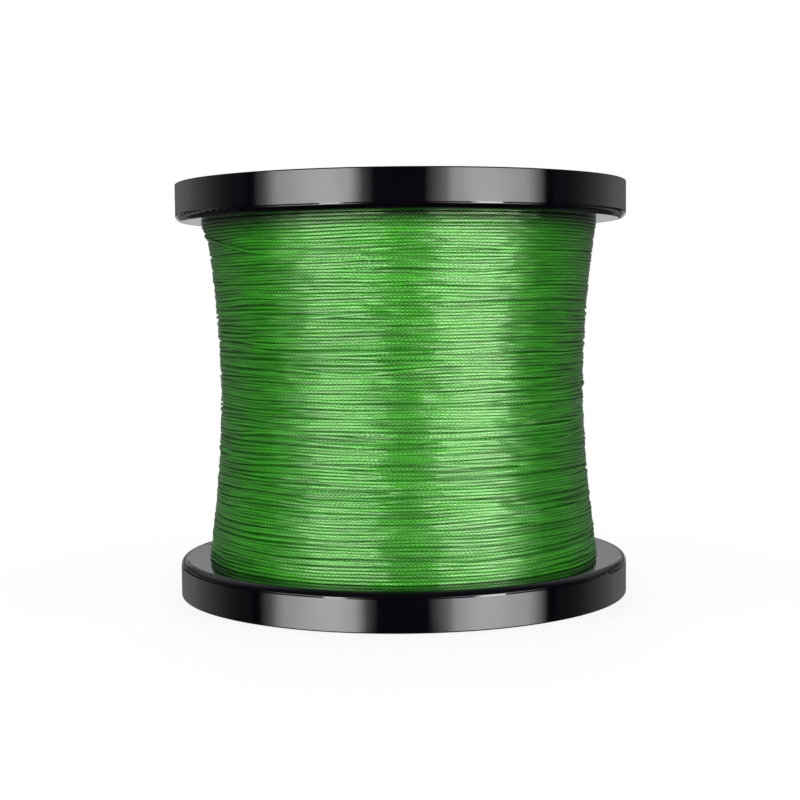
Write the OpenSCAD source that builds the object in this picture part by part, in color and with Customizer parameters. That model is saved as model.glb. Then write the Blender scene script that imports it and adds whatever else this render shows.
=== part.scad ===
// Fishing line spool. Two rimmed flanges snap onto a core tube, a sleeve for the spindle runs
// through the middle, end covers close the hollow flanges and carry blank labels, and braided
// line is wound on between the flanges. Sizes are in millimetres. The origin is the centre of
// the ring that the spool stands on, and +Z is the spindle axis.

/* [Flanges] */
// Outer diameter of each flange
flange_d = 80; // [76:0.5:110]
// Height of each flange rim
flange_h = 6.6; // [5.6:0.1:9]
// Clear length between the two flanges, which the line fills
traverse = 59.5; // [45:0.5:90]
// Thickness of the rim wall
rim_wall = 2.2; // [1.6:0.1:3]
// Thickness of the plate that the line is wound against
plate_t = 2; // [1.4:0.1:2.6]
// Rounding of the rim edge next to the line
line_edge_r = 1.2; // [0.4:0.1:1.5]
// Rounding of the rim edge on the outer face
outer_edge_r = 0.2; // [0.1:0.1:0.8]
// How many ribs stiffen the back of each plate
rib_count = 8; // [4:2:12]
// Thickness of each rib
rib_t = 1.4; // [1:0.1:2.4]
// Wall of the hub ring round the sleeve
hub_wall = 2; // [1.4:0.1:3]

/* [Core tube] */
// Outer diameter of the tube that the line is wound on
core_d = 39; // [36:0.5:46]
// Wall of the core tube
core_wall = 2.2; // [1.6:0.1:2.8]
// Thickness of the web that steadies the sleeve half way up
web_t = 1.6; // [1:0.1:3]
// Height of the ring at the middle of the web
web_hub_h = 8; // [4:0.5:14]

/* [Snap fit] */
// How far each flange spigot reaches into the core tube
spigot_h = 6; // [5:0.5:9]
// Wall of the spigot
spigot_wall = 1.8; // [1.4:0.1:2.4]
// How many snap lugs hold each flange
lug_count = 4; // [2:1:6]
// Width of each lug
lug_w = 7; // [4:0.5:9]
// Height of each lug
lug_h = 1.6; // [1:0.1:2]
// How far each lug stands out of its spigot
lug_out = 1.1; // [0.6:0.1:1.5]
// Distance from the plate to the middle of each lug
lug_from_plate = 3.5; // [2.5:0.1:3.8]
// Clearance of each lug in its window
lug_gap = 0.2; // [0.1:0.05:0.4]
// Radial clearance between parts that slide together
fit_gap = 0.15; // [0.1:0.05:0.25]

/* [Spindle sleeve] */
// Bore for the spindle
bore_d = 16; // [12:0.5:17]
// Wall of the sleeve
sleeve_wall = 2.2; // [1.8:0.1:2.6]
// Wall of the thinner sleeve ends that pass through the covers
sleeve_end_wall = 1.3; // [1:0.1:1.6]
// Chamfer at each mouth of the bore
bore_chamfer = 0.4; // [0.2:0.1:0.6]

/* [End covers and labels] */
// How far each cover lies below the face of its rim
cover_inset = 0.8; // [0.5:0.1:1.2]
// Thickness of each cover
cover_t = 1.4; // [1:0.1:1.8]
// How far the bead inside the rim overhangs the cover
bead_grip = 0.15; // [0.1:0.05:0.3]
// Outer diameter of each label
label_d = 68; // [50:0.5:70]
// Diameter of the hole in each label
label_hole_d = 25; // [23:0.5:36]
// Thickness of each label
label_t = 0.2; // [0.1:0.05:0.3]
// Depth of the recess that the label is stuck into
label_recess = 0.3; // [0.3:0.05:0.5]
// Clearance round the label in its recess
label_gap = 0.25; // [0.1:0.05:0.5]

/* [Line] */
// Diameter of the braided line
line_d = 0.5; // [0.3:0.05:0.8]
// Diameter of the wound line at the waist, half way up
waist_d = 64.8; // [56:0.2:68]
// Diameter of the wound line against the flanges
shoulder_d = 69.7; // [62:0.1:70.5]
// How sharply the wound line flares towards the flanges
flare = 1.8; // [1.2:0.1:3]
// How many turns the outermost pass makes from flange to flange
turns = 24; // [12:1:24]
// Clearance between the wound line and the flanges
wind_gap = 0.15; // [0.1:0.05:0.3]
// Clearance between the last pass and the packed layers that it lies on
bed_gap = 0.05; // [0.03:0.01:0.1]
// Distance below the upper plate at which the tail leaves the last turn
tail_drop = 5.9; // [3:0.1:10]
// Angle over which the tail climbs from the last turn to its notch
tail_sweep = 60; // [45:15:150]
// Height above the plate at which the tail is cut off
tail_end = 0.8; // [0.5:0.1:1]
// Radius at which the line bends at its two ends
bend_r = 0.8; // [0.6:0.1:1.2]

/* [Line end notch] */
// Direction of the notch, anticlockwise from +X
notch_angle = 165; // [0:1:359]
// Width of the notch where it grips the tail
notch_w = 0.9; // [0.9:0.05:1.2]
// Width of the notch at the rim
notch_mouth = 2.4; // [1.4:0.1:4]
// Height of the notch in the rim
notch_h = 3.4; // [2.7:0.1:4]

/* [Tape] */
// Thickness of the tape that holds the first end of the line to the core tube
tape_t = 0.15; // [0.1:0.05:0.2]
// Width of the tape
tape_w = 12; // [8:1:19]
// Angle that the tape covers round the core tube
tape_sweep = 80; // [30:5:180]
// Height of the middle of the tape above the lower plate
tape_h = 14; // [13:1:25]
// Clearance over and under the tape
tape_gap = 0.05; // [0.03:0.01:0.1]

/* [Hidden] */
$fn = 96;

overall_h = traverse + 2 * flange_h;
cut = 1; // how far a cutting shape runs past the face that it opens

flange_r = flange_d / 2;
rim_inner_r = flange_r - rim_wall;
cover_r = rim_inner_r - fit_gap;
cover_top = cover_inset + cover_t;

sleeve_r = bore_d / 2 + sleeve_wall;
sleeve_end_r = bore_d / 2 + sleeve_end_wall;
hub_inner_r = sleeve_r + fit_gap;
hub_r = hub_inner_r + hub_wall;

core_r = core_d / 2;
core_inner_r = core_r - core_wall;
spigot_r = core_inner_r - fit_gap;

// The line: the outline of the whole winding, and the packed layers below the last pass
mid_z = flange_h + traverse / 2;
function wind_r(z) = waist_d / 2
    + (shoulder_d - waist_d) / 2 * pow(abs(z - mid_z) * 2 / traverse, flare);
rings_per_turn = 24;
tube_flats = 6;
chord_sag = shoulder_d / 2 * (1 - cos(180 / rings_per_turn));
function bed_r(z) = wind_r(z) - line_d - chord_sag - bed_gap;
bed_steps = 28;
bed_low = flange_h + wind_gap;
bed_high = flange_h + traverse - wind_gap;
bed_inner_r = core_r + tape_t + 2 * tape_gap;

// The last pass climbs steadily, and its end climbs faster as the tail
upper_plate_z = flange_h + traverse;
start_z = bed_low + line_d / 2;
tail_z = upper_plate_z - tail_drop;
tail_r = wind_r(upper_plate_z) - line_d / 2;
bend_z = upper_plate_z - bend_r - line_d / 2;
steps = turns * rings_per_turn;
tail_steps = round(tail_sweep / 360 * rings_per_turn);
step_angle = 360 / rings_per_turn;
bend_steps = 4;

// ---- Flanges ----

// Outline of the whole rim, from the spindle axis outwards, with its two rounded edges
module rim_outline() {
    square([flange_r - line_edge_r, flange_h]);
    square([flange_r - outer_edge_r, flange_h - line_edge_r]);
    translate([0, outer_edge_r])
        square([flange_r, flange_h - line_edge_r - outer_edge_r]);
    translate([flange_r - line_edge_r, flange_h - line_edge_r])
        circle(r = line_edge_r);
    translate([flange_r - outer_edge_r, outer_edge_r])
        circle(r = outer_edge_r);
}

// The hollow behind the plate, which narrows to a bead at its mouth to hold the cover
module rim_hollow() {
    translate([0, 0, cover_inset])
        cylinder(r = rim_inner_r, h = flange_h - plate_t - cover_inset);
    translate([0, 0, -cut])
        cylinder(r = cover_r - bead_grip, h = cover_inset + 2 * cut);
}

// One rib from the hub to the rim, as deep as the hollow below the cover
module rib() {
    translate([hub_r - hub_wall / 2, -rib_t / 2, cover_top])
        cube([rim_inner_r - hub_r + hub_wall / 2 + rim_wall / 2, rib_t,
              flange_h - plate_t / 2 - cover_top]);
}

// The spigot that enters the core tube, with its snap lugs
module spigot() {
    difference() {
        union() {
            translate([0, 0, flange_h - plate_t / 2])
                cylinder(r = spigot_r, h = spigot_h + plate_t / 2);
            for (i = [0 : lug_count - 1])
                rotate(notch_angle + (i + 0.5) * 360 / lug_count)
                    translate([spigot_r - spigot_wall / 2, -lug_w / 2,
                               flange_h + lug_from_plate - lug_h / 2])
                        cube([spigot_wall / 2 + lug_out, lug_w, lug_h]);
        }
        translate([0, 0, flange_h])
            cylinder(r = spigot_r - spigot_wall, h = spigot_h + cut);
    }
}

// The notch in plate and rim that grips the end of the line
module line_notch() {
    root = tail_r - notch_w / 2;
    flat_end = rim_inner_r;
    mouth = flange_r + cut;
    rotate(notch_angle)
        translate([0, 0, flange_h - notch_h])
            linear_extrude(notch_h + cut)
                polygon([[root, -notch_w / 2], [flat_end, -notch_w / 2], [mouth, -notch_mouth / 2],
                         [mouth, notch_mouth / 2], [flat_end, notch_w / 2], [root, notch_w / 2]]);
}

// A flange as it lies at the bottom of the spool, hollow side down
module flange() {
    difference() {
        union() {
            difference() {
                rotate_extrude() rim_outline();
                rim_hollow();
            }
            translate([0, 0, cover_top])
                cylinder(r = hub_r, h = flange_h - plate_t / 2 - cover_top);
            for (i = [0 : rib_count - 1])
                rotate(notch_angle + (i + 0.5) * 360 / rib_count) rib();
            spigot();
        }
        translate([0, 0, -cut])
            cylinder(r = hub_inner_r, h = overall_h);
        line_notch();
    }
}

module flip_to_top() {
    translate([0, 0, overall_h]) mirror([0, 0, 1]) children();
}

module lower_flange() {
    color("#1b1c20") flange();
}

module upper_flange() {
    color("#1b1c20") flip_to_top() flange();
}

// ---- Core tube ----

// The windows near one end of the core tube that the snap lugs click into
module lug_windows() {
    for (i = [0 : lug_count - 1])
        rotate(notch_angle + (i + 0.5) * 360 / lug_count)
            translate([core_inner_r - cut, -lug_w / 2 - lug_gap,
                       flange_h + lug_from_plate - lug_h / 2 - lug_gap])
                cube([core_wall + 2 * cut, lug_w + 2 * lug_gap, lug_h + 2 * lug_gap]);
}

module core_tube() {
    color("#2a2b30")
    difference() {
        union() {
            difference() {
                translate([0, 0, flange_h]) cylinder(r = core_r, h = traverse);
                translate([0, 0, flange_h - cut]) cylinder(r = core_inner_r, h = traverse + 2 * cut);
            }
            translate([0, 0, mid_z - web_t / 2]) cylinder(r = core_inner_r + core_wall / 2, h = web_t);
            translate([0, 0, mid_z - web_hub_h / 2]) cylinder(r = hub_r, h = web_hub_h);
        }
        translate([0, 0, flange_h]) cylinder(r = hub_inner_r, h = traverse);
        lug_windows();
        flip_to_top() lug_windows();
    }
}

// ---- Spindle sleeve ----

// The cone that opens the lower mouth of the bore
module bore_mouth() {
    translate([0, 0, cover_inset - cut])
        cylinder(r1 = bore_d / 2 + bore_chamfer + cut, r2 = bore_d / 2, h = bore_chamfer + cut);
}

module spindle_sleeve() {
    shoulder_z = cover_top + fit_gap;
    color("#3a3b40")
    difference() {
        union() {
            translate([0, 0, cover_inset])
                cylinder(r = sleeve_end_r, h = overall_h - 2 * cover_inset);
            translate([0, 0, shoulder_z])
                cylinder(r = sleeve_r, h = overall_h - 2 * shoulder_z);
        }
        cylinder(r = bore_d / 2, h = overall_h);
        bore_mouth();
        flip_to_top() bore_mouth();
    }
}

// ---- End covers and labels ----

// A cover as it lies at the bottom of the spool, label side down
module end_cover() {
    difference() {
        translate([0, 0, cover_inset]) cylinder(r = cover_r, h = cover_t);
        translate([0, 0, cover_inset - cut]) cylinder(r = sleeve_end_r + fit_gap, h = cover_t + 2 * cut);
        difference() {
            translate([0, 0, cover_inset - cut])
                cylinder(r = label_d / 2 + label_gap, h = label_recess + cut);
            cylinder(r = label_hole_d / 2 - label_gap, h = cover_top);
        }
    }
}

module label() {
    translate([0, 0, cover_inset + label_recess - label_t])
        difference() {
            cylinder(d = label_d, h = label_t);
            translate([0, 0, -cut]) cylinder(d = label_hole_d, h = label_t + 2 * cut);
        }
}

module lower_end_cover() {
    color("#222328") end_cover();
}

module upper_end_cover() {
    color("#222328") flip_to_top() end_cover();
}

module lower_label() {
    color("#d9dcd6") label();
}

module upper_label() {
    color("#d9dcd6") flip_to_top() label();
}

// ---- Line ----

// The short tape that sticks the first end of the line to the core tube
module line_start_tape() {
    color("#c8b98a")
    translate([0, 0, flange_h + tape_h - tape_w / 2])
        rotate(notch_angle)
            rotate_extrude(angle = tape_sweep)
                translate([core_r + tape_gap, 0]) square([tape_t, tape_w]);
}

// The packed layers of line below the last pass
module line_winding() {
    rise = (bed_high - bed_low) / bed_steps;
    side = [for (i = [0 : bed_steps]) [bed_r(bed_low + i * rise), bed_low + i * rise]];
    color("#2f8f24")
    rotate_extrude()
        polygon(concat(side, [[bed_inner_r, bed_high], [bed_inner_r, bed_low]]));
}

function unit(v) = v / norm(v);
function on_spool(r, a, z) = [r * cos(a), r * sin(a), z];

// Height of the last pass after i steps: a steady climb, then the steeper tail
function pass_z(i) = i <= steps - tail_steps
    ? start_z + (tail_z - start_z) * i / (steps - tail_steps)
    : tail_z + (bend_z - tail_z) * (i - steps + tail_steps) / tail_steps;

// At its first end the line stands out of the layer below in a low hump
hump = bend_r + line_d / 2 - chord_sag;
hump_steps = 4;
function pass_r(i) = wind_r(pass_z(i)) - line_d / 2 + hump * pow(max(0, 1 - i / hump_steps), 2);
function pass_angle(i) = notch_angle + 360 * turns - i * step_angle;

// Route of the last pass: out of the layer below, round the spool, and up into the notch
first_r = bed_r(start_z) + bed_gap;
first_end = [for (r = [first_r, first_r + line_d]) on_spool(r, pass_angle(0), start_z)];
first_bend = [for (k = [1 : bend_steps])
    let (b = 90 * k / bend_steps, turn = atan2(bend_r * (1 - cos(b)), first_r + line_d))
        on_spool(first_r + line_d + bend_r * sin(b), pass_angle(0) - turn, start_z)];
round_spool = [for (i = [1 : steps - 1]) on_spool(pass_r(i), pass_angle(i), pass_z(i))];
last_bend = [for (k = [0 : bend_steps])
    let (b = 90 * k / bend_steps, turn = atan2(bend_r * (1 - sin(b)), tail_r))
        on_spool(tail_r, notch_angle + turn, bend_z + bend_r * (1 - cos(b)))];
last_end = [for (z = [upper_plate_z + plate_t / 2, upper_plate_z + plate_t + tail_end])
    on_spool(tail_r, notch_angle, z)];
route = concat(first_end, first_bend, round_spool, last_bend, last_end);

// A tube with flat sides along a route, closed at both ends
function along(route, i) =
    unit(route[min(i + 1, len(route) - 1)] - route[max(i - 1, 0)]);
function square_to(n, d) = unit(n - (n * d) * d);
function sides_of(route) =
    [for (i = 0, n = square_to([0, 0, 1], along(route, 0)); i < len(route);
          i = i + 1, n = square_to(n, along(route, min(i, len(route) - 1)))) n];
module tube(route, r, flats) {
    side = sides_of(route);
    rings = [for (i = [0 : len(route) - 1], k = [0 : flats - 1])
        let (n = side[i], b = cross(along(route, i), n), a = 360 * k / flats)
            route[i] + r * (n * cos(a) + b * sin(a))];
    last = len(rings) - flats;
    skin = [for (i = [0 : len(route) - 2], k = [0 : flats - 1])
        let (p = i * flats + k, q = i * flats + (k + 1) % flats)
            each [[p, q + flats, q], [p, p + flats, q + flats]]];
    caps = [for (k = [1 : flats - 2])
        each [[0, k, k + 1], [last, last + k + 1, last + k]]];
    polyhedron(points = rings, faces = concat(skin, caps));
}

// Least clear gap between any two neighbouring turns, measured from point to point
function gap_to_next(i) = min([for (j = [i + rings_per_turn / 2 : min(i + rings_per_turn * 3 / 2,
    len(route) - 1)]) norm(route[i] - route[j])]) - line_d;
least_gap = min([for (i = [0 : len(route) - 1 - rings_per_turn / 2]) gap_to_next(i)]);
echo(least_gap_of_outer_layer = least_gap);

module line_outer_layer() {
    color("#49b03a") tube(route, line_d / 2, tube_flats);
}

lower_flange();
upper_flange();
core_tube();
spindle_sleeve();
lower_end_cover();
upper_end_cover();
lower_label();
upper_label();
line_start_tape();
line_winding();
line_outer_layer();
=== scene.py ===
import math

import bpy
import numpy as np
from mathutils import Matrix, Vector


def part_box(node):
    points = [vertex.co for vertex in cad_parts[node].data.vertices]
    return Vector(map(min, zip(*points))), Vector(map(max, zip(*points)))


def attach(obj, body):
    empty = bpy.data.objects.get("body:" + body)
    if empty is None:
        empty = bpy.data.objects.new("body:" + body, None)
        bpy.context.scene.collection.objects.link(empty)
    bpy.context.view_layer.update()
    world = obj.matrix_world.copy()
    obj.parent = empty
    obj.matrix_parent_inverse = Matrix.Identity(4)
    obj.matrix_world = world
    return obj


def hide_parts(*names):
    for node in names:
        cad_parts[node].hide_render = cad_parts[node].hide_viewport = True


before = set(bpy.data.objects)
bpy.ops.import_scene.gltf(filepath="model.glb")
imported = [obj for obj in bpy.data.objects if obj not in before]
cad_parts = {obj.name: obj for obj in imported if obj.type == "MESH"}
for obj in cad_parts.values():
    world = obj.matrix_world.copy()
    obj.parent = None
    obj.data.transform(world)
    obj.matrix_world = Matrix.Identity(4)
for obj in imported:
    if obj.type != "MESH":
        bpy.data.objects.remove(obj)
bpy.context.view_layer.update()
mm = 0.001


# ---- Core tube ----
# The tube that the line is wound on, moulded in matt black plastic with a web half way up. The
# flange spigots click into windows near its two ends, and the line hides it from outside.

def empty_material(name):
    """A material with nothing in it yet, and the socket that its surface goes to."""
    material = bpy.data.materials.new(name)
    material.use_nodes = True
    tree = material.node_tree
    tree.nodes.clear()
    return material, tree, tree.nodes.new("ShaderNodeOutputMaterial").inputs["Surface"]


def new_material(name):
    """A material with the shader that all of the spool's finishes start from."""
    material, tree, surface = empty_material(name)
    shader = tree.nodes.new("ShaderNodeBsdfPrincipled")
    tree.links.new(shader.outputs["BSDF"], surface)
    return material, tree, shader


def place_on_piece(tree):
    """Where a point lies on its piece, in metres."""
    return tree.nodes.new("ShaderNodeTexCoord").outputs["Object"]


def noise_on(tree, coordinates, size, detail=2.0):
    """Noise with grains of about the given size, in metres."""
    noise = tree.nodes.new("ShaderNodeTexNoise")
    noise.inputs["Scale"].default_value = 1 / size
    noise.inputs["Detail"].default_value = detail
    tree.links.new(coordinates, noise.inputs["Vector"])
    return noise.outputs["Fac"]


def ranged(tree, value, low, high, from_low=0.3, from_high=0.7):
    """The value carried from one range to another, held at its ends. Noise lies mostly between
    0.3 and 0.7, so it comes from there unless another range is given."""
    scale = tree.nodes.new("ShaderNodeMapRange")
    scale.inputs["From Min"].default_value = from_low
    scale.inputs["From Max"].default_value = from_high
    scale.inputs["To Min"].default_value = low
    scale.inputs["To Max"].default_value = high
    tree.links.new(value, scale.inputs["Value"])
    return scale.outputs["Result"]


def two_tones(tree, share, first, second):
    """The first tone where the share is 0, and the second where it is 1. The first may be a
    colour or another node's output."""
    mix = tree.nodes.new("ShaderNodeMix")
    mix.data_type = "RGBA"
    tree.links.new(share, mix.inputs["Factor"])
    if isinstance(first, tuple):
        mix.inputs["A"].default_value = (*first, 1)
    else:
        tree.links.new(first, mix.inputs["A"])
    mix.inputs["B"].default_value = (*second, 1)
    return mix.outputs["Result"]


def raised(tree, shader, height, depth):
    """Bump of the given depth, in metres, for each 1 of the height."""
    bump = tree.nodes.new("ShaderNodeBump")
    bump.inputs["Distance"].default_value = depth
    tree.links.new(height, bump.inputs["Height"])
    tree.links.new(bump.outputs["Normal"], shader.inputs["Normal"])


def moulded_plastic(name, tone_a, tone_b, roughness, grain, depth):
    """Moulded plastic with a fine grain, slightly uneven in tone and gloss."""
    patch = 6 * mm
    material, tree, shader = new_material(name)
    place = place_on_piece(tree)
    cloud = noise_on(tree, place, patch)
    tree.links.new(two_tones(tree, cloud, tone_a, tone_b), shader.inputs["Base Color"])
    tree.links.new(ranged(tree, cloud, *roughness), shader.inputs["Roughness"])
    raised(tree, shader, noise_on(tree, place, grain, detail=4.0), depth)
    return material


def finish_node(name, material):
    """Gives a piece of the CAD model its finish."""
    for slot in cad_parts[name].material_slots:
        slot.material = material


core_plastic = moulded_plastic("core plastic", (0.020, 0.021, 0.025), (0.034, 0.035, 0.040),
                               roughness=(0.45, 0.60), grain=0.25 * mm, depth=0.01 * mm)
finish_node("core_tube", core_plastic)


# ---- Spindle sleeve ----
# A smooth tube right through the spool, which the spindle of a winder or stand turns in. It is
# drawn from dark grey plastic, and its thinner ends show as rings round the bore.

def drawn_plastic():
    """Plastic with fine streaks along the tube."""
    streak = 0.35 * mm
    times_longer = 25
    material, tree, shader = new_material("sleeve plastic")
    stretch = tree.nodes.new("ShaderNodeMapping")
    stretch.inputs["Scale"].default_value = (1, 1, 1 / times_longer)
    tree.links.new(place_on_piece(tree), stretch.inputs["Vector"])
    streaks = noise_on(tree, stretch.outputs["Vector"], streak, detail=3.0)
    tone = two_tones(tree, streaks, (0.030, 0.031, 0.035), (0.058, 0.060, 0.066))
    tree.links.new(tone, shader.inputs["Base Color"])
    tree.links.new(ranged(tree, streaks, 0.28, 0.45), shader.inputs["Roughness"])
    raised(tree, shader, streaks, 0.006 * mm)
    return material


finish_node("spindle_sleeve", drawn_plastic())


# ---- Flanges ----
# Two alike flanges of polished black plastic with a deep rim, turned face to face. Each has a
# flat plate that the line lies against, with ribs behind it and a notch for the line's tail.

def polished_black():
    """Glossy black with a hint of haze, and with the slow ripple of moulded plastic."""
    tone_patch = 14 * mm
    haze_patch = 2.5 * mm
    ripple_length = 9 * mm
    material, tree, shader = new_material("flange plastic")
    place = place_on_piece(tree)
    flow = noise_on(tree, place, tone_patch, detail=1.0)
    tone = two_tones(tree, flow, (0.0012, 0.0012, 0.0024), (0.0018, 0.0018, 0.0034))
    tree.links.new(tone, shader.inputs["Base Color"])
    haze = noise_on(tree, place, haze_patch, detail=4.0)
    tree.links.new(ranged(tree, haze, 0.06, 0.10), shader.inputs["Roughness"])
    shader.inputs["IOR"].default_value = 1.54
    raised(tree, shader, noise_on(tree, place, ripple_length, detail=0.0), 0.004 * mm)
    return material


flange_black = polished_black()
finish_node("lower_flange", flange_black)
finish_node("upper_flange", flange_black)


# ---- End covers ----
# Two thin discs that snap under a bead inside the rims and close the hollow flanges. They are
# moulded in the same black with a fine satin texture, and have a shallow recess for the label.

cover_plastic = moulded_plastic("cover plastic", (0.012, 0.012, 0.015), (0.018, 0.018, 0.022),
                                roughness=(0.30, 0.38), grain=0.12 * mm, depth=0.012 * mm)
finish_node("lower_end_cover", cover_plastic)
finish_node("upper_end_cover", cover_plastic)


# ---- Labels ----
# A round paper label stuck into the recess of each cover. It carries no words: only a green band
# between thin grey lines, printed on coated paper.

def length_of(tree, vector):
    """The length of a vector."""
    length = tree.nodes.new("ShaderNodeVectorMath")
    length.operation = "LENGTH"
    tree.links.new(vector, length.inputs[0])
    return length.outputs["Value"]


def maths(tree, operation, *terms):
    """A product, a sum or the like, of numbers and of other nodes' outputs."""
    node = tree.nodes.new("ShaderNodeMath")
    node.operation = operation
    for socket, term in zip(node.inputs, terms):
        if isinstance(term, (int, float)):
            socket.default_value = term
        else:
            tree.links.new(term, socket)
    return node.outputs["Value"]


def label_paper():
    """Paper with its prints, each a ring with a radius, half its width and its ink."""
    fibre = 0.5 * mm
    thin = 0.25 * mm
    grey_ink = (0.22, 0.23, 0.23)
    green_ink = (0.10, 0.36, 0.06)
    prints = (
        (29.0 * mm, 2.6 * mm, green_ink),
        (25.6 * mm, thin, grey_ink),
        (32.4 * mm, thin, grey_ink),
        (15.0 * mm, thin, grey_ink),
    )
    material, tree, shader = new_material("label paper")
    place = place_on_piece(tree)
    flat = tree.nodes.new("ShaderNodeVectorMath")
    flat.operation = "MULTIPLY"
    flat.inputs[1].default_value = (1, 1, 0)
    tree.links.new(place, flat.inputs[0])
    radius = length_of(tree, flat.outputs["Vector"])
    fibres = noise_on(tree, place, fibre, detail=5.0)
    colour = two_tones(tree, fibres, (0.74, 0.75, 0.72), (0.80, 0.81, 0.78))
    for middle, half_width, ink in prints:
        ring = maths(tree, "COMPARE", radius, middle, half_width)
        colour = two_tones(tree, ring, colour, ink)
    tree.links.new(colour, shader.inputs["Base Color"])
    tree.links.new(ranged(tree, fibres, 0.42, 0.55), shader.inputs["Roughness"])
    raised(tree, shader, fibres, 0.008 * mm)
    return material


paper = label_paper()
finish_node("lower_label", paper)
finish_node("upper_label", paper)


# ---- Starting tape ----
# A strip of thin yellowish plastic tape that sticks the first end of the line to the core tube,
# under all of the winding.

tape_film = moulded_plastic("tape film", (0.55, 0.47, 0.28), (0.64, 0.56, 0.36),
                            roughness=(0.30, 0.42), grain=0.4 * mm, depth=0.01 * mm)
finish_node("line_start_tape", tape_film)


# ---- Packed line ----
# The inner layers of the wound line, a braid of fine green strands wound tight from flange to
# flange. Only dark slivers of them show between the outer wraps, so they are one turned body,
# drawn in at the waist as the whole winding is.

# The line as it lies pressed flat, and what a layer adds as it beds into the one below.
line_width = 0.53 * mm
line_height = 0.34 * mm
layer_step = 0.24 * mm

waist_r = 32.4 * mm
shoulder_rise = 2.45 * mm
flare = 1.8
plate_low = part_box("core_tube")[0].z
plate_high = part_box("core_tube")[1].z
core_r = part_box("core_tube")[1].x
middle_z = (plate_low + plate_high) / 2

# The line stands prouder just in front of the notch, where tails have pushed wraps together.
swell_rise = 0.70 * mm
swell_angle = math.radians(188)
swell_half_angle = math.radians(24)
swell_below_plate = 0.5 * mm
swell_half_height = 3.6 * mm


def pack_radius(z):
    """Outer radius of the wound line at a height."""
    away = np.abs(z - middle_z) * 2 / (plate_high - plate_low)
    return waist_r + shoulder_rise * away ** flare


def part_way(distance, reach):
    """How far a distance has got along its reach, from 0 to 1."""
    return np.clip(distance / reach, 0, 1)


def window(offset, half_width):
    """A soft bump, 1 where the offset is 0 and 0 past the half width."""
    return (1 + np.cos(math.pi * part_way(np.abs(offset), half_width))) / 2


def swelling(angle, height):
    """How much prouder the line stands at an angle round the spool and a height."""
    across = window(angle - swell_angle, swell_half_angle)
    return swell_rise * across * window(height - plate_high + swell_below_plate, swell_half_height)


def line_finish(name, tone_low, tone_high, gloss):
    """Braided line: strands that cross over and under each other, in a silky green. The first UV
    coordinate counts the picks along the line. The second goes once round it, with the side that
    faces outwards at 0.5."""
    strands_each_way = 3
    dye_patch = 1.2 * mm
    dye_picks = 22
    waver_picks = 9
    waver_height = 12.0
    braid_depth = 0.04 * mm
    material, tree, shader = new_material(name)
    uv = tree.nodes.new("ShaderNodeUVMap")
    uv.uv_map = "braid"
    split = tree.nodes.new("ShaderNodeSeparateXYZ")
    tree.links.new(uv.outputs["UV"], split.inputs["Vector"])
    along = split.outputs["X"]
    round_line = split.outputs["Y"]

    def strand_wave(way):
        """Highest along the middle of each strand that runs one way, and 0 between strands."""
        return maths(tree, "SINE", maths(tree, "MULTIPLY", maths(tree, "FRACT", way), math.pi))

    def crossing(first, second):
        """One wave where its strands are on top, and the other where they pass under."""
        mix = tree.nodes.new("ShaderNodeMix")
        tree.links.new(on_top, mix.inputs["Factor"])
        tree.links.new(first, mix.inputs["A"])
        tree.links.new(second, mix.inputs["B"])
        return mix.outputs["Result"]

    def noise_along(picks, detail):
        """Noise along the line, with grains of about so many picks."""
        noise = tree.nodes.new("ShaderNodeTexNoise")
        noise.noise_dimensions = "1D"
        noise.inputs["Scale"].default_value = 1 / picks
        noise.inputs["Detail"].default_value = detail
        tree.links.new(along, noise.inputs["W"])
        return noise.outputs["Fac"]

    # The picks: strands one way and the other take turns on top, and dip at both ends.
    around = maths(tree, "MULTIPLY", round_line, strands_each_way)
    one_way = maths(tree, "ADD", along, around)
    other_way = maths(tree, "SUBTRACT", along, around)
    cells = maths(tree, "ADD", maths(tree, "FLOOR", one_way), maths(tree, "FLOOR", other_way))
    on_top = maths(tree, "ABSOLUTE", maths(tree, "MODULO", cells, 2.0))
    wave_a = strand_wave(one_way)
    wave_b = strand_wave(other_way)
    ends = maths(tree, "POWER", crossing(wave_b, wave_a), 0.5)
    pick = maths(tree, "MULTIPLY", crossing(wave_a, wave_b), ends)

    # The tone: uneven dye, and painted shade: darker in the dips between picks, towards the sides
    # of a wrap, and where the depth attribute marks the line as deep between wraps or near the
    # upper flange.
    dye = noise_on(tree, place_on_piece(tree), dye_patch, detail=3.0)
    stretches = noise_along(dye_picks, detail=2.0)
    from_crest = maths(tree, "ABSOLUTE", maths(tree, "SUBTRACT", round_line, 0.5))
    depth = tree.nodes.new("ShaderNodeAttribute")
    depth.attribute_name = "depth"
    shares = (
        ranged(tree, stretches, 0.50, 1.0, 0.35, 0.62),
        ranged(tree, depth.outputs["Fac"], 1.0, 0.12, 0, 1),
        pick,
        ranged(tree, from_crest, 1.0, 0.40, 0.085, 0.180),
    )
    shade = ranged(tree, dye, 0.75, 1.0)
    for share in shares:
        shade = maths(tree, "MULTIPLY", shade, share)
    tree.links.new(two_tones(tree, shade, tone_low, tone_high), shader.inputs["Base Color"])

    # The sheen, drawn out across the fibres, and bent where the line wavers along a wrap.
    lengthways = tree.nodes.new("ShaderNodeTangent")
    lengthways.direction_type = "UV_MAP"
    lengthways.uv_map = "braid"
    tree.links.new(lengthways.outputs["Tangent"], shader.inputs["Tangent"])
    shader.inputs["Anisotropic"].default_value = 0.85
    shader.inputs["Anisotropic Rotation"].default_value = 0.25
    tree.links.new(ranged(tree, pick, 0.27, 0.36, 0.1, 0.9), shader.inputs["Roughness"])
    shader.inputs["IOR"].default_value = 2.3
    shader.inputs["Specular IOR Level"].default_value = gloss
    shader.inputs["Specular Tint"].default_value = (0.70, 1.0, 0.58, 1)
    waver = maths(tree, "MULTIPLY", noise_along(waver_picks, detail=1.0), waver_height)
    raised(tree, shader, maths(tree, "ADD", pick, waver), braid_depth)
    return material


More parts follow.
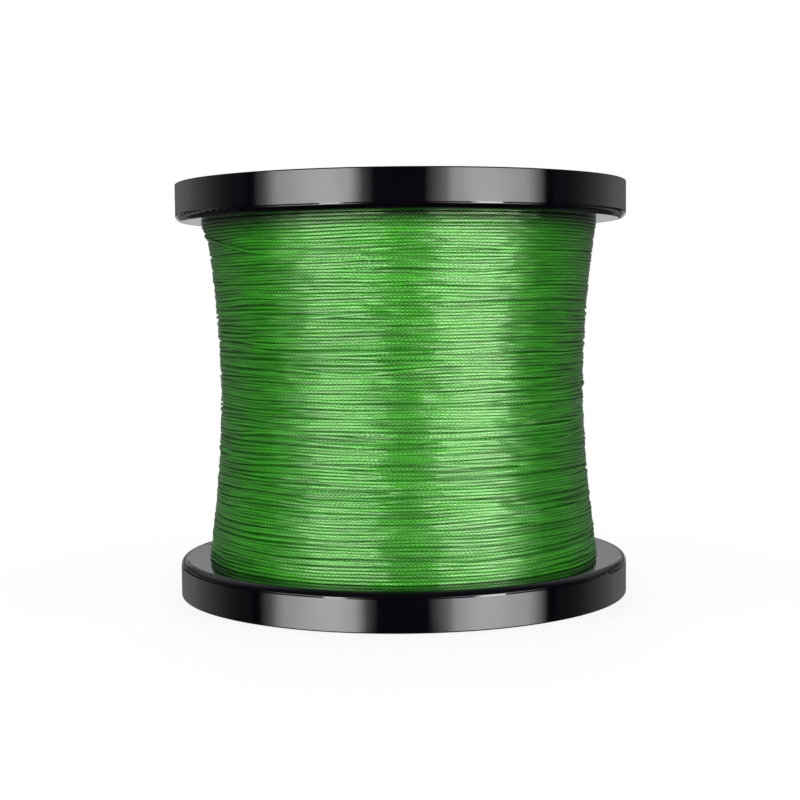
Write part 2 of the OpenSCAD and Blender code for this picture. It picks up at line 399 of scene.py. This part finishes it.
def edit_alone(piece):
    """Opens one piece in edit mode, with all of it selected."""
    bpy.ops.object.select_all(action="DESELECT")
    piece.select_set(True)
    bpy.context.view_layer.objects.active = piece
    bpy.ops.object.mode_set(mode="EDIT")
    bpy.ops.mesh.select_all(action="SELECT")


def packed_line():
    """An outline from the plates and the waist, spun round the axis. Its outside then follows the
    swelling."""
    steps_up = 40
    steps_round = 160
    plate_gap = 0.15 * mm
    core_gap = 0.3 * mm
    layers_down = 2.1
    crease = math.radians(40)
    low = plate_low + plate_gap
    high = plate_high - plate_gap
    inner = core_r + core_gap
    heights = [low + (high - low) * i / steps_up for i in range(steps_up + 1)]
    outline = [(pack_radius(z) - layers_down * layer_step, 0, z) for z in heights]
    outline += [(inner, 0, high), (inner, 0, low)]
    corners = len(outline)
    mesh = bpy.data.meshes.new("line_packed_layers")
    mesh.from_pydata(outline, [(i, (i + 1) % corners) for i in range(corners)], [])
    body = bpy.data.objects.new("line_packed_layers", mesh)
    bpy.context.scene.collection.objects.link(body)
    edit_alone(body)
    bpy.ops.mesh.spin(steps=steps_round, angle=2 * math.pi, center=(0, 0, 0), axis=(0, 0, 1))
    bpy.ops.mesh.select_all(action="SELECT")
    bpy.ops.mesh.remove_doubles(threshold=0.001 * mm)
    bpy.ops.mesh.normals_make_consistent(inside=False)
    bpy.ops.object.mode_set(mode="OBJECT")
    places = np.array([vert.co for vert in mesh.vertices])
    radius = np.hypot(places[:, 0], places[:, 1])
    angle = np.arctan2(places[:, 1], places[:, 0]) % (2 * math.pi)
    on_outside = radius > (inner + waist_r) / 2
    push = swelling(angle, places[:, 2]) * on_outside
    places[:, :2] *= (1 + push / radius)[:, None]
    mesh.vertices.foreach_set("co", places.ravel())
    mesh.uv_layers.new(name="braid")
    bpy.ops.object.shade_smooth_by_angle(angle=crease)
    return body


# A darker, duller copy of the line's finish: painted shade for the packed layers, the sides and
# undersides of the wraps, and the line under the flange and under the last pass.
shadow_green = line_finish("line in shadow", (0.001, 0.03, 0.0005), (0.045, 0.74, 0.004),
                           gloss=0.65)
packed = packed_line()
packed.data.materials.append(shadow_green)
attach(packed, "root")
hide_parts("line_winding")


# ---- Wraps under the last pass ----
# The pass before the last one, the same braid laid from the upper flange down. It shows through
# the gaps of the last pass, and lies bare below the upper flange, where the last pass stops.

braid_pick = 0.74 * mm
wrap_pitch = 0.52 * mm
flange_gap = 0.01 * mm
lowest_row = plate_low + line_width / 2 + flange_gap
highest_row = plate_high - line_width / 2 - flange_gap

# The angle at which the rows shift up, how near a plate they start to lie straight, and how near
# the upper plate they lie in its shade.
shift_angle = math.radians(90)
edge_calm = 3 * mm
flange_shade = 0.9 * mm

# One half of the pressed line's section, from its underside to its crest: how far outwards, as a
# share of half its height, and how far aside, as a share of half its width.
half_profile = ((-0.75, 0.70), (0.45, 0.99), (0.86, 0.76), (1.0, 0.40))
profile = [*half_profile, *((proud, -aside) for proud, aside in reversed(half_profile))]
sides = len(profile)

# Where the last pass stops, and where its tail leaves it, turns up and enters the notch.
wind_stop_z = 59.9 * mm
tail_leaves = math.radians(233)
notch_angle = math.radians(165)
tail_bend = 0.8 * mm
bend_z = plate_high - tail_bend - line_width / 2

# Waves round the spool, and the least height up the winding over which each shifts right round.
guide_waves = [(waves, 25 * mm) for waves in (1, 2, 3, 4, 5, 7)]
short_waves = [(5, 6 * mm), (6, 7 * mm), (8, 5 * mm), (9, 6 * mm), (11, 7 * mm)]
whole_wave = 6.28

line_green = line_finish("braided line", (0.001, 0.045, 0.0005), (0.060, 0.77, 0.003), gloss=1.0)


def eased(part):
    """A share from 0 to 1, with a soft start and a soft end."""
    return part * part * (3 - 2 * part)


def tail_height(angle):
    """Height of the tail where it climbs from the last wrap to the notch in the flange. It leaves
    its wrap softly and flattens out towards the flange."""
    soft_start = 0.2
    flattening = 0.3
    part = part_way(tail_leaves - angle, tail_leaves - notch_angle)
    rise = np.where(part < soft_start, part * part / (2 * soft_start), part - soft_start / 2)
    rise = rise / (1 - soft_start / 2)
    return wind_stop_z + (bend_z - wind_stop_z) * rise * (1 + flattening - flattening * rise)


def rows_from_flange(turn):
    """Height of the wraps, from the lower flange up. The first ones lie level against it and
    shift up by a row at the back, and further on they rise evenly."""
    level_rows = 2.5
    shift_from = 0.86
    row = np.floor(turn)
    part = turn - row
    level = np.exp(-row / level_rows)
    shift = eased(part_way(part - shift_from, 1 - shift_from))
    return lowest_row + wrap_pitch * (row + part * (1 - level) + shift * level)


def smooth_noise(random, count, knot_every):
    """A soft random curve, mostly from -1 to 1, with one knot in so many steps."""
    knots = random.standard_normal(count // knot_every + 4)
    place = np.arange(count) / knot_every
    first = place.astype(int)
    share = eased(place - first)
    return knots[first] * (1 - share) + knots[first + 1] * share


def rows_near(turn, centre):
    """Which row of wraps a point is on, counted from the row through centre, and how far round
    from centre it is, in turns."""
    row = np.round(turn - centre)
    return row, turn - centre - row


def open_gaps(random, turn, height, count, widest):
    """Here and there two neighbouring wraps stand apart and crowd their neighbours."""
    for _ in range(count):
        row, offset = rows_near(turn, random.uniform(turn[0], turn[-1]))
        size = random.uniform(0.3, 1.0) ** 2 * widest
        rows_pushed = random.uniform(0.8, 3.0)
        push = np.where(row <= 0, -np.exp(np.minimum(row, 0) / rows_pushed),
                        np.exp((1 - np.maximum(row, 1)) / rows_pushed))
        height += size * push * window(offset, random.uniform(0.02, 0.12))


def sway(random, angle, height):
    """Long waves that neighbouring wraps share, from the swing of the traverse guide, and short
    ones that draw some wraps together and leave others apart."""
    moved = np.zeros_like(height)
    for waves, reach in guide_waves + short_waves:
        size = random.uniform(0.04, 0.10) * mm / math.sqrt(min(waves, 3))
        tilt = random.uniform(0.5, 1) * random.choice([-1, 1]) * 2 * math.pi / reach
        moved += size * np.sin(waves * angle + tilt * height + random.uniform(0, whole_wave))
    return moved


def uneven_roll(random, count):
    """The flattened line leans to either side as it beds in between its neighbours."""
    lean = 0.11
    short = smooth_noise(random, count, knot_every=6)
    return short * lean + smooth_noise(random, count, knot_every=14) * lean


def on_spool(radius, angle, height):
    """Points round the axis of the spool."""
    places = np.broadcast_arrays(radius * np.cos(angle), radius * np.sin(angle), height)
    return np.stack(places, axis=1)


def beside_tail(angle):
    """1 where the tail crosses the bare wraps, and 0 round the rest of the spool."""
    middle = math.radians(200)
    half_angle = math.radians(35)
    return np.clip(2 * window(angle - middle, half_angle), 0, 1)


def valley(angle, above_tail):
    """How far the wraps sink that lie just above the tail, in layers."""
    depth = 0.7
    middle = 0.55 * mm
    half_width = 0.75 * mm
    return depth * window(above_tail - middle, half_width) * beside_tail(angle)


def painted_shade_places(angle, height, above_tail):
    """Painted shade on the wraps, from 0 to 1: darker under the last pass, in the wedge above the
    tail, and more and more towards the upper flange, as far as its shade."""
    covered_painted_shade = 0.3
    flange_painted_shade = 0.35
    flange_reach = 3.2 * mm
    wedge_from = -0.3 * mm
    wedge_to = 0.8 * mm
    covered = covered_painted_shade * part_way(wind_stop_z - height, 0.2 * mm)
    wedge = part_way(above_tail - wedge_from, 0.2 * mm) * part_way(wedge_to - above_tail, 0.5 * mm)
    near_flange = flange_painted_shade * part_way(height - plate_high + flange_reach, flange_reach)
    near_flange = np.where(height > plate_high - flange_shade, 0, near_flange)
    return np.maximum.reduce([covered, wedge * beside_tail(angle), near_flange])


def under_pass():
    """Points of the whole pass, its roll, its painted shade where it lies deep between other wraps,
    and where it takes the line in shadow, as painted shade under the flange and under the last
    pass."""
    random = np.random.default_rng(11)
    turn_steps = 108
    gaps = 200
    widest_gap = 0.14 * mm
    just_covered = 0.2 * mm
    turns = int((highest_row - lowest_row) / wrap_pitch) + 1
    turn = np.arange(turns * turn_steps + 1) / turn_steps
    angle = shift_angle + 2 * math.pi * turn
    upward = rows_from_flange(turn)
    downward = lowest_row + highest_row - rows_from_flange(turn[-1] - turn)
    share = turn / turn[-1]
    height = upward * (1 - share) + downward * share
    inside = part_way(height - lowest_row, edge_calm) * part_way(highest_row - height, edge_calm)
    shaded = (height > plate_high - flange_shade) | (height < wind_stop_z - just_covered)
    moved = sway(random, angle, height)
    open_gaps(random, turn, moved, gaps, widest_gap)
    height = np.clip(height + moved * inside, lowest_row, highest_row)

    round_angle = angle % (2 * math.pi)
    above_tail = height - tail_height(round_angle)
    bared = part_way(height - wind_stop_z - 0.1 * mm, 0.4 * mm)
    sunk = layer_step * np.maximum(1 - bared, valley(round_angle, above_tail))
    radius = pack_radius(height) - line_height / 2 - sunk
    radius += smooth_noise(random, len(turn), knot_every=26) * 0.035 * mm
    radius += swelling(round_angle, height)
    depth = painted_shade_places(round_angle, height, above_tail)
    return on_spool(radius, angle, height), uneven_roll(random, len(turn)), depth, shaded


def square_frames(points):
    """Unit vectors along the line and square to it, turned as little as possible."""
    ahead = np.gradient(points, axis=0)
    ahead /= np.linalg.norm(ahead, axis=1)[:, None]
    out = points * (1, 1, 0)
    out /= np.linalg.norm(out, axis=1)[:, None]
    out -= ahead * np.sum(out * ahead, axis=1)[:, None]
    out /= np.linalg.norm(out, axis=1)[:, None]
    return out, np.cross(ahead, out)


def pressed_line(points, thickness, roll):
    """Corners of the line's section at each point. Tension presses the wound line flat against
    the layer below, and the flatter it is, the wider."""
    narrowing = 0.6
    flat_out, flat_up = square_frames(points)
    turned = roll[:, None]
    out = flat_out * np.cos(turned) + flat_up * np.sin(turned)
    up = flat_up * np.cos(turned) - flat_out * np.sin(turned)
    width = np.maximum(line_width - narrowing * (thickness - line_height), thickness)
    thick = thickness[:, None] / 2
    wide = width[:, None] / 2
    corners = [points + thick * proud * out + wide * aside * up for proud, aside in profile]
    return np.stack(corners, axis=1).reshape(-1, 3)


def braid_uv(points, ring, side):
    """Picks along the line and the share of the way round it, at the corners of each face."""
    step = np.linalg.norm(np.diff(points, axis=0), axis=1)
    picks = np.concatenate([[0], np.cumsum(step)]) / braid_pick
    edges = [math.dist(a, b) for a, b in zip(profile, profile[1:] + profile[:1])]
    round_to = (np.concatenate([[0], np.cumsum(edges)]) + edges[-1] / 2) / sum(edges)
    along = np.stack([picks[ring], picks[ring + 1], picks[ring + 1], picks[ring]], axis=1)
    around = np.stack([round_to[side], round_to[side], round_to[side + 1], round_to[side + 1]],
                      axis=1)
    return np.stack([along, around], axis=2).reshape(-1, 2)


def braided_tube(name, points, thickness, roll, depth, shaded):
    """One length of line along its points. Depth, from 0 to 1, is painted shade: how much darker
    each point is drawn where it lies deep between other wraps. The darker, duller line in shadow,
    also painted shade, is on the sides and the underside, which face into the gaps between wraps,
    and all round where the line is shaded."""
    count = len(points)
    ring = np.repeat(np.arange(count - 1), sides)
    side = np.tile(np.arange(sides), count - 1)
    here = ring * sides
    ahead = here + sides
    after = (side + 1) % sides
    faces = np.stack([here + side, ahead + side, ahead + after, here + after], axis=1).tolist()
    ends = [list(range(sides)), list(range((count - 1) * sides, count * sides))]
    mesh = bpy.data.meshes.new(name)
    mesh.from_pydata(pressed_line(points, thickness, roll).tolist(), [], faces + ends)
    uvs = np.zeros((len(mesh.loops), 2), np.float32)
    uvs[:len(faces) * 4] = braid_uv(points, ring, side)
    mesh.uv_layers.new(name="braid").data.foreach_set("uv", uvs.ravel())
    deep = mesh.attributes.new("depth", "FLOAT", "POINT")
    deep.data.foreach_set("value", np.repeat(depth, sides).astype(np.float32))
    mesh.shade_smooth()
    piece = bpy.data.objects.new(name, mesh)
    bpy.context.scene.collection.objects.link(piece)
    edit_alone(piece)
    bpy.ops.mesh.normals_make_consistent(inside=False)
    bpy.ops.object.mode_set(mode="OBJECT")
    mesh.materials.append(line_green)
    mesh.materials.append(shadow_green)
    painted_shade_faces = shaded[ring] | np.isin(side, (0, sides - 2, sides - 1))
    mesh.polygons.foreach_set("material_index", np.append(painted_shade_faces, [0, 0]).astype(np.int32))
    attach(piece, "root")
    return piece


under_route, under_roll, under_painted_shade, under_shaded = under_pass()
under_height = np.full(len(under_route), line_height)
braided_tube("line_under_wraps", under_route, under_height, under_roll, under_painted_shade, under_shaded)


# ---- Last pass and tail ----
# The outermost pass of the braid, from the lower flange up to a few millimetres below the upper
# one. Its tail then climbs round the left side and is pressed into the upper flange's notch.

# The tail in the notch: its radius from the axis, its end, and how thick it is there, no longer
# pressed flat. All of it is drawn a little darker, as painted shade.
tail_r = 34.75 * mm
tail_top = plate_high + 2.8 * mm
loose_height = 0.48 * mm
tail_painted_shade = 0.1

# Hollows of the whole pack: how many go round the spool, and how deep they are.
hollows = ((6, 0.020 * mm), (13, 0.020 * mm), (19, 0.018 * mm), (25, 0.015 * mm),
           (31, 0.012 * mm))


def dents(random, angle, height):
    """Shallow hollows and swellings of the whole pack, which bend the light on its wraps."""
    sets = 3
    least_height = 3 * mm
    moved = np.zeros_like(height)
    for waves, size in hollows:
        for _ in range(sets):
            tilt = random.uniform(-1, 1) * 2 * math.pi / least_height
            phase = random.uniform(0, whole_wave)
            moved += size * np.sin(waves * angle + tilt * height + phase)
    return moved


def swap_rows(random, turn, height, radius, count):
    """Here and there a wrap rides over the next one and drops back into its own row."""
    over_by = 1.1
    under_by = 0.35
    lifted = 0.35 * line_height
    pressed = 0.2 * line_height
    end_turns = 2
    for _ in range(count):
        row, offset = rows_near(turn, random.uniform(turn[0] + end_turns, turn[-1] - end_turns))
        half = random.uniform(0.06, 0.18)
        side = random.choice([-1, 1])
        lift = window(offset, half)
        over = row == 0
        under = row == side
        height += over * side * wrap_pitch * over_by * lift
        height -= under * side * wrap_pitch * under_by * lift
        radius += over * lifted * np.sqrt(lift)
        radius -= under * pressed * lift


def last_pass():
    """Points of the whole pass up to its tail, and its roll."""
    random = np.random.default_rng(4)
    turn_steps = 120
    gaps = 600
    widest_gap = 0.13 * mm
    swaps = 60
    calm_to_tail = 1.5 * mm
    level_to_tail = 1 / 12
    last_part = (shift_angle - tail_leaves) / (2 * math.pi) % 1.0
    turns = int((wind_stop_z - lowest_row) / wrap_pitch) + last_part
    count = round(turns * turn_steps) + 1
    turn = np.arange(count) / turn_steps
    angle = tail_leaves + 2 * math.pi * (turn[-1] - turn)
    rise = rows_from_flange(turn) - lowest_row
    height = lowest_row + rise * (wind_stop_z - lowest_row) / rise[-1]
    radius = smooth_noise(random, count, knot_every=26) * 0.028 * mm
    radius += smooth_noise(random, count, knot_every=7) * 0.012 * mm
    inside = part_way(height - lowest_row, edge_calm) * part_way(wind_stop_z - height, calm_to_tail)
    moved = sway(random, angle, height)
    moved += smooth_noise(random, count, knot_every=9) * 0.025 * mm
    moved += smooth_noise(random, count, knot_every=5) * 0.014 * mm
    open_gaps(random, turn, moved, gaps, widest_gap)
    swap_rows(random, turn, moved, radius, swaps)
    height = np.maximum(height + moved * inside, lowest_row)
    radius += dents(random, angle, height)
    radius += pack_radius(height) - line_height / 2
    roll = uneven_roll(random, count) * part_way(turn[-1] - turn, level_to_tail)
    return on_spool(radius, angle, height), roll


def tail():
    """The free end: it climbs over the bare wraps of the pass below, lies along the flange, and
    turns straight up into the notch. It gets rounder as it leaves the winding."""
    climb_steps = 48
    bend_steps = 6
    rise_steps = 5
    ride_height = 0.30 * line_height
    ride_up_by = 0.15
    lean_out_from = 0.75
    turn_in = math.atan2(tail_bend, tail_r)
    angle = np.linspace(tail_leaves, notch_angle + turn_in, climb_steps + 1)
    part = np.linspace(0, 1, climb_steps + 1)
    height = tail_height(angle)
    radius = pack_radius(height) - line_height / 2
    radius += ride_height * part_way(part, ride_up_by) ** 2
    radius += swelling(angle, height)
    radius += (tail_r - radius) * part_way(part - lean_out_from, 1 - lean_out_from) ** 2
    climb = on_spool(radius, angle, height)
    bend = np.linspace(0, math.pi / 2, bend_steps + 1)[1:]
    swing = np.arctan2(tail_bend * (1 - np.sin(bend)), tail_r)
    curve = on_spool(tail_r, notch_angle + swing, bend_z + tail_bend * (1 - np.cos(bend)))
    rise = np.linspace(bend_z + tail_bend, tail_top, rise_steps + 1)[1:]
    route = np.concatenate([climb[1:], curve, on_spool(tail_r, notch_angle, rise)])
    rounder = part_way(np.arange(len(route)), climb_steps)
    return route, line_height + (loose_height - line_height) * rounder


wound_route, wound_roll = last_pass()
tail_route, tail_thickness = tail()
wound = np.zeros(len(wound_route))
loose = np.zeros(len(tail_route))
last = braided_tube("line_last_pass", np.concatenate([wound_route, tail_route]),
                    thickness=np.concatenate([wound + line_height, tail_thickness]),
                    roll=np.concatenate([wound_roll, loose]),
                    depth=np.concatenate([wound, loose + tail_painted_shade]),
                    shaded=np.concatenate([wound, loose]).astype(bool))
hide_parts("line_outer_layer")


# ---- Studio ----
# A white floor and surround, with soft boxes in front on either side at three heights. The rims
# mirror the upper and lower ones as pale bands, and the middle ones make the sheen on the line.
# Lamps in front, above and behind light it evenly.

def seen_by(tree, *rays):
    """1 for the named kinds of ray, and 0 for all others."""
    path = tree.nodes.new("ShaderNodeLightPath")
    share = path.outputs[rays[0]]
    for ray in rays[1:]:
        share = maths(tree, "MAXIMUM", share, path.outputs[ray])
    return share


def blended(tree, share, first, second):
    """The first shader where the share is 0, and the second where it is 1."""
    blend = tree.nodes.new("ShaderNodeMixShader")
    tree.links.new(share, blend.inputs["Fac"])
    tree.links.new(first, blend.inputs[1])
    tree.links.new(second, blend.inputs[2])
    return blend.outputs["Shader"]


def ramp_of(tree, value, stops):
    """Grey levels along a value, given as places from 0 to 1 and their levels."""
    ramp = tree.nodes.new("ShaderNodeValToRGB")
    tree.links.new(value, ramp.inputs["Fac"])
    elements = ramp.color_ramp.elements
    for place, level in stops:
        stop = elements.new(place)
        stop.color = (level, level, level, 1)
    elements.remove(elements[0])
    elements.remove(elements[-1])
    return ramp.outputs["Color"]


def white_floor():
    """Pale floor that shows the object's shadow, turns plain white away from it, and can be seen
    through from below."""
    white_under_spool = 0.82
    spool_r = 0.04
    white_from_r = 0.09
    bpy.ops.object.select_all(action="DESELECT")
    bpy.ops.mesh.primitive_plane_add(size=8, location=(0, 0, -0.1 * mm))
    floor = bpy.context.object
    floor.name = "floor"
    floor.visible_glossy = False
    floor.visible_diffuse = False
    material, tree, surface = empty_material("floor")
    matt = tree.nodes.new("ShaderNodeBsdfDiffuse")
    matt.inputs["Color"].default_value = (0.86, 0.86, 0.86, 1)
    glow = tree.nodes.new("ShaderNodeEmission")
    clear = tree.nodes.new("ShaderNodeBsdfTransparent")
    distance = length_of(tree, place_on_piece(tree))
    far = ranged(tree, distance, white_under_spool, 1.0, spool_r, white_from_r)
    white = maths(tree, "MULTIPLY", far, seen_by(tree, "Is Camera Ray", "Is Transmission Ray"))
    from_above = blended(tree, white, matt.outputs["BSDF"], glow.outputs["Emission"])
    underside = tree.nodes.new("ShaderNodeNewGeometry").outputs["Backfacing"]
    tree.links.new(blended(tree, underside, from_above, clear.outputs["BSDF"]), surface)
    floor.data.materials.append(material)


# The room that the polished rims mirror. Its walls run from behind the camera to behind the
# object, its bands and its far wall from below to above.
walls = ((0.0, 0.010), (0.36, 0.04), (0.50, 0.065), (0.57, 0.13), (0.66, 0.27), (0.75, 0.36),
         (0.84, 0.42), (0.93, 0.28), (0.995, 0.10))
wall_bands = ((0.0, 0.2), (0.16, 0.10), (0.265, 1.0), (0.345, 1.0), (0.375, 0.12), (0.515, 0.12),
              (0.54, 1.0), (0.59, 1.0), (0.66, 0.10), (1.0, 0.2))
far_wall_bands = ((0.365, 0.0), (0.385, 0.45), (0.485, 0.65), (0.51, 0.0), (0.59, 0.0),
                  (0.67, 0.57))


def surround():
    """White to the camera. The polished rims mirror it as a room that is dark behind the camera
    and pale behind the object. The other surfaces get only a trace of light from it, and more
    from straight below."""
    fill_below = 0.5
    fill_round = 0.015
    world = bpy.data.worlds.new("studio")
    bpy.context.scene.world = world
    world.use_nodes = True
    tree = world.node_tree
    tree.nodes.clear()
    surface = tree.nodes.new("ShaderNodeOutputWorld").inputs["Surface"]

    def light(colour):
        background = tree.nodes.new("ShaderNodeBackground")
        background.inputs["Color"].default_value = (*colour, 1)
        return background

    room = light((0.94, 0.97, 1.0))
    fill = light((1, 1, 1))
    white = light((1, 1, 1))
    split = tree.nodes.new("ShaderNodeSeparateXYZ")
    direction = tree.nodes.new("ShaderNodeTexCoord").outputs["Generated"]
    tree.links.new(direction, split.inputs["Vector"])
    backwards = split.outputs["Y"]
    upwards = split.outputs["Z"]
    fill_strength = ranged(tree, upwards, fill_below, fill_round, -0.9, -0.8)
    tree.links.new(fill_strength, fill.inputs["Strength"])
    up = ranged(tree, upwards, 0, 1, -0.5, 0.5)
    wall = ramp_of(tree, ranged(tree, backwards, 0, 1, -1, 1), walls)
    behind = ranged(tree, backwards, 0.0, 1.0, 0.84, 0.96)
    near_light = maths(tree, "MULTIPLY", wall, ramp_of(tree, up, wall_bands))
    far_light = maths(tree, "MULTIPLY", ramp_of(tree, up, far_wall_bands), behind)
    tree.links.new(maths(tree, "ADD", near_light, far_light), room.inputs["Strength"])
    mirrored = blended(tree, seen_by(tree, "Is Glossy Ray"), fill.outputs["Background"],
                       room.outputs["Background"])
    plain = seen_by(tree, "Is Camera Ray", "Is Transmission Ray")
    tree.links.new(blended(tree, plain, mirrored, white.outputs["Background"]), surface)


def soft_box(name, side, aim, width, span, strength, stops):
    """A cloth panel with a lamp behind it, which only glossy surfaces show. Side is -1 for the
    left and 1 for the right, aim is its angle from straight ahead, span is its bottom and top,
    and the stops give its brightness from inside outwards."""
    away = 0.6
    bottom, top = span
    direction = math.radians(aim) * side
    bpy.ops.object.select_all(action="DESELECT")
    bpy.ops.mesh.primitive_plane_add(size=1)
    panel = bpy.context.object
    panel.name = name
    panel.scale = (width, top - bottom, 1)
    panel.location = (away * math.sin(direction), -away * math.cos(direction), (top + bottom) / 2)
    panel.rotation_euler = (math.pi / 2, 0, direction)
    panel.visible_camera = False
    panel.visible_diffuse = False
    material, tree, surface = empty_material(name)
    glow = tree.nodes.new("ShaderNodeEmission")
    split = tree.nodes.new("ShaderNodeSeparateXYZ")
    tree.links.new(place_on_piece(tree), split.inputs["Vector"])
    outwards = ranged(tree, split.outputs["X"], 0, 1, -0.5 * side, 0.5 * side)
    level = maths(tree, "MULTIPLY", ramp_of(tree, outwards, stops), strength)
    tree.links.new(level, glow.inputs["Strength"])
    tree.links.new(glow.outputs["Emission"], surface)
    panel.data.materials.append(material)


def lamp(name, power, size, place):
    """A broad lamp aimed at the spool, which lights it and isn't mirrored in it."""
    light = bpy.data.lights.new(name, "AREA")
    light.shape = "DISK"
    light.size = size
    light.energy = power
    hung = bpy.data.objects.new(name, light)
    hung.location = place
    aim = Vector((0, 0, middle_z)) - Vector(place)
    hung.rotation_euler = aim.to_track_quat("-Z", "Y").to_euler()
    hung.visible_glossy = False
    hung.visible_camera = False
    bpy.context.scene.collection.objects.link(hung)


white_floor()
surround()

upper_span = (0.085, 0.135)
lower_span = (-0.145, -0.078)
middle_span = (lower_span[1], upper_span[0])
wide_left = ((0.02, 0.0), (0.11, 0.13), (0.21, 0.86), (0.32, 1.0), (0.44, 1.0), (0.70, 0.66),
             (0.81, 0.16), (0.92, 0.0))
wide_right = ((0.0, 0.0), (0.09, 0.16), (0.175, 0.36), (0.215, 0.68), (0.36, 0.97), (0.50, 0.94),
              (0.73, 0.70), (0.83, 0.28), (0.91, 0.0))
narrow = ((0.0, 0.0), (0.3, 1.0), (0.7, 1.0), (1.0, 0.0))
for level, span in (("upper", upper_span), ("lower", lower_span)):
    for hand, side, stops in (("left", -1, wide_left), ("right", 1, wide_right)):
        soft_box(f"{level}_soft_box_{hand}", side, aim=45, width=0.80, span=span, strength=8.0,
                 stops=stops)
soft_box("middle_soft_box_left", -1, aim=32, width=0.13, span=middle_span, strength=10.5,
         stops=narrow)
soft_box("middle_soft_box_right", 1, aim=41, width=0.17, span=middle_span, strength=14.0,
         stops=narrow)

lamp("left_lamp", power=1.45, size=0.2, place=(-0.060, -0.418, 0.19))
lamp("right_lamp", power=1.2, size=0.2, place=(0.060, -0.418, 0.19))
lamp("back_lamp", power=5.0, size=0.45, place=(0, 0.75, 0.35))
lamp("top_lamp", power=2.6, size=0.6, place=(0, 0, 0.9))

# The camera stands in front of the spool, a little above its middle, and looks slightly down.
camera = bpy.data.cameras.new("camera")
camera.sensor_width = 36
camera.lens = 70.25
camera.clip_start = 0.01
camera.clip_end = 20
view = bpy.data.objects.new("camera", camera)
bpy.context.scene.collection.objects.link(view)
view.location = (0, -0.28132, 0.05271)
view.rotation_euler = (math.pi / 2 - 0.06619, 0.00948, 0.00081)
bpy.context.scene.camera = view
bpy.context.scene.view_settings.view_transform = "Standard"
